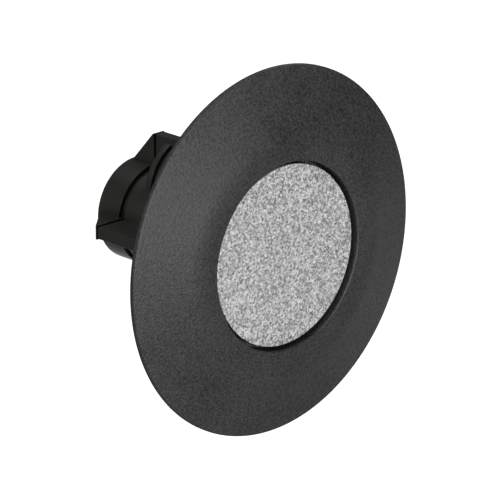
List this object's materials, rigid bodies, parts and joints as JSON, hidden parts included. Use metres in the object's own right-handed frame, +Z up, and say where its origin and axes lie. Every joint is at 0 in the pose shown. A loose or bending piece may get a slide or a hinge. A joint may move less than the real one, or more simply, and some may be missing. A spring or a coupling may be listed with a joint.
{
  "type": "security tag detacher",
  "caption": "Round counter-mounted security tag detacher: dished black flange, sprung silver magnetic face, winged rear body with snap arms.",
  "frame": {"origin": "on the axis, in the plane of the flange's back where it lies on the counter", "axes": "+Y runs back along the axis into the counter, the press face looks along -Y, +Z is up"},
  "size_m": [0.095, 0.0555, 0.095],
  "materials": {
    "textured_black": "black ABS with a fine spark-eroded texture",
    "moulded_black": "black moulded nylon, smooth satin",
    "carrier_black": "black moulded acetal, satin",
    "gasket_rubber": "flat elastomer ring",
    "bush_bronze": "sintered bronze, oiled",
    "sparkle_silver": "silver lacquer with coarse metallic flake",
    "adhesive_film": "double-sided adhesive film",
    "plated_yoke": "zinc-plated deep-drawn steel",
    "plated_magnet": "nickel-plated sintered magnet",
    "spacer_alloy": "turned aluminium",
    "stem_steel": "turned bright steel",
    "stop_rubber": "black elastomer",
    "spring_wire": "drawn spring steel",
    "zinc_screw": "zinc-plated steel"
  },
  "bodies": {
    "housing": {"flange": "textured_black", "panel_gasket": "gasket_rubber", "boss_body": "moulded_black", "rear_cap": "moulded_black", "guide_bush": "bush_bronze", "spring_seat": "stem_steel", "flange_screw_1": "zinc_screw", "flange_screw_2": "zinc_screw", "flange_screw_3": "zinc_screw", "flange_screw_4": "zinc_screw", "cap_screw_1": "zinc_screw", "cap_screw_2": "zinc_screw", "cap_screw_3": "zinc_screw", "cap_screw_4": "zinc_screw"},
    "press_head": {"face_plate": "sparkle_silver", "adhesive_disc": "adhesive_film", "carrier": "carrier_black", "yoke_cup": "plated_yoke", "ring_magnet": "plated_magnet", "magnet_spacer": "spacer_alloy", "core_magnet": "plated_magnet", "guide_stem": "stem_steel", "stop_washer": "stop_rubber", "return_spring": "spring_wire"},
    "arm_1": {"retaining_arm_1": "moulded_black"},
    "arm_2": {"retaining_arm_2": "moulded_black"}
  },
  "joints": [
    {"name": "face_press", "type": "slide", "parent": "housing", "child": "press_head", "axis": [0, 1, 0], "range_m": [0, 0.0012], "stiffness_N_per_m": 1500, "springref_m": -0.002, "deforming": ["return_spring"]},
    {"name": "arm_1_flex", "type": "hinge", "parent": "housing", "child": "arm_1", "pos_m": [-0.01183, 0.03045, 0.00629], "axis": [0, 1, 0], "range_deg": [0, 9], "stiffness_Nm_per_rad": 0.02, "springref_deg": -2.86},
    {"name": "arm_2_flex", "type": "hinge", "parent": "housing", "child": "arm_2", "pos_m": [0.01183, 0.03045, -0.00629], "axis": [0, 1, 0], "range_deg": [0, 9], "stiffness_Nm_per_rad": 0.02, "springref_deg": -2.86}
  ]
}
